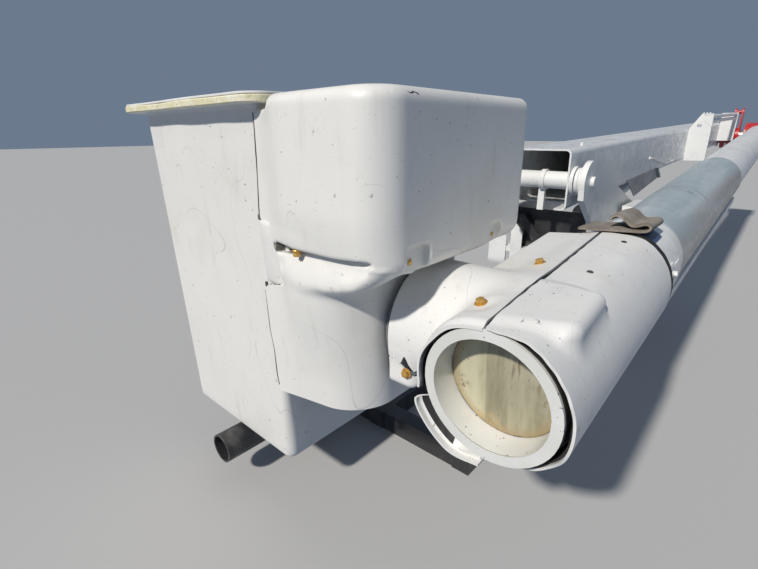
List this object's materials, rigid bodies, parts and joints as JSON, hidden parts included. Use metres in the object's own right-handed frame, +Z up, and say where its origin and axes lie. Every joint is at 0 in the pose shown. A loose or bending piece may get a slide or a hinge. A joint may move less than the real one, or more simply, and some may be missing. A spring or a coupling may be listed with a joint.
{
  "type": "aerial lift bucket and boom unit",
  "caption": "Bucket-truck aerial lift off its truck: square bucket on a round insulated upper boom, elbow, box lower boom, turntable and pedestal.",
  "frame": {"origin": "on the turning axis of the turntable, at the underside of the subframe that bolts to the truck", "axes": "+X towards the bucket end of the stowed booms, +Y towards the side that carries the round upper boom, +Z up"},
  "size_m": [6.93, 1.447, 1.428],
  "materials": {
    "white_paint": "gloss white enamel, chipped and dusty",
    "white_gelcoat": "white gelcoat on moulded glass fibre, speckled and scratched",
    "glass_tube": "weathered blue-grey wound glass-fibre tube",
    "raw_glass": "bare yellowed glass fibre",
    "liner_plastic": "white polyethylene liner",
    "black_steel": "satin black paint",
    "pin_steel": "greased steel pin",
    "chrome_rod": "hard chrome cylinder rod",
    "red_paint": "red enamel",
    "grey_paint": "grey enamel",
    "belting": "brown-black woven belting"
  },
  "bodies": {
    "base": {"subframe": "black_steel", "pedestal_base": "white_paint", "pedestal": "white_paint", "slew_ring": "grey_paint", "bucket_rest_tube": "black_steel", "bucket_rest_bracket": "black_steel"},
    "turntable": {"turntable_plate": "white_paint", "turntable_ears": "white_paint", "pivot_pin": "white_paint", "pivot_washers": "white_paint", "pin_link": "white_paint", "turntable_guard": "white_paint", "guard_brace": "black_steel", "turntable_cross_plate": "black_steel", "cylinder_base_lugs": "white_paint", "rotation_gearbox": "grey_paint", "valve_block": "white_paint"},
    "lower_boom": {"lower_boom_box": "white_paint", "cylinder_boom_lugs": "white_paint", "cylinder_boom_pin": "pin_steel", "line_bracket": "white_paint", "elbow_lines": "white_paint", "line_stay": "white_paint", "elbow_side_plates": "white_paint", "elbow_end_plate": "white_paint", "elbow_shaft": "pin_steel"},
    "lift_barrel": {"lift_cylinder_barrel": "white_paint"},
    "lift_rod": {"lift_cylinder_rod": "chrome_rod"},
    "elbow_level": {"level_sheave": "red_paint", "level_crank": "red_paint"},
    "upper_boom": {"upper_boom_knuckle": "red_paint", "upper_boom_steel_tube": "white_paint", "upper_boom_tube": "glass_tube", "tube_bulkhead": "raw_glass", "boom_collar": "white_paint", "tip_cover_right": "white_gelcoat", "tip_cover_left": "white_gelcoat", "tip_cover_lower": "white_gelcoat", "tip_shaft_housing": "grey_paint", "tip_shaft": "pin_steel", "belting_flap": "belting", "conduit_strip": "white_paint"},
    "platform": {"bucket": "white_gelcoat", "bucket_liner": "liner_plastic", "console_cover": "white_gelcoat", "bucket_bracket": "grey_paint"}
  },
  "joints": [
    {"name": "turntable_rotation", "type": "hinge", "parent": "base", "child": "turntable", "pos_m": [0, 0, 0.53], "axis": [0, 0, 1], "continuous": true},
    {"name": "lower_boom_lift", "type": "hinge", "parent": "turntable", "child": "lower_boom", "pos_m": [0.575, 0, 0.955], "axis": [0, 1, 0], "range_deg": [0, 80]},
    {"name": "lift_barrel_swing", "type": "hinge", "parent": "lower_boom", "child": "lift_barrel", "pos_m": [-1.14, 0, 0.826], "axis": [0, 1, 0], "range_deg": [0, 4.15]},
    {"name": "lift_rod_stroke", "type": "slide", "parent": "lift_barrel", "child": "lift_rod", "axis": [0.9917, 0, -0.1288], "range_m": [0, 0.7209]},
    {"name": "elbow_level", "type": "hinge", "parent": "lower_boom", "child": "elbow_level", "pos_m": [-4.65, 0, 1.105], "axis": [0, 1, 0], "range_deg": [-80.5, 0]},
    {"name": "upper_boom_lift", "type": "hinge", "parent": "elbow_level", "child": "upper_boom", "pos_m": [-4.65, 0, 1.105], "axis": [0, -1, 0], "range_deg": [0, 180]},
    {"name": "platform_level", "type": "hinge", "parent": "upper_boom", "child": "platform", "pos_m": [1.8, 0, 0.7], "axis": [0, -1, 0], "range_deg": [-180.5, 0]}
  ],
  "couplings": [
    {"joint": "lift_barrel_swing", "follows": "lower_boom_lift", "ratio": 0.050882},
    {"joint": "lift_rod_stroke", "follows": "lower_boom_lift", "m_per_rad": 0.50619},
    {"joint": "elbow_level", "follows": "lower_boom_lift", "ratio": -1},
    {"joint": "platform_level", "follows": "upper_boom_lift", "ratio": -1}
  ]
}
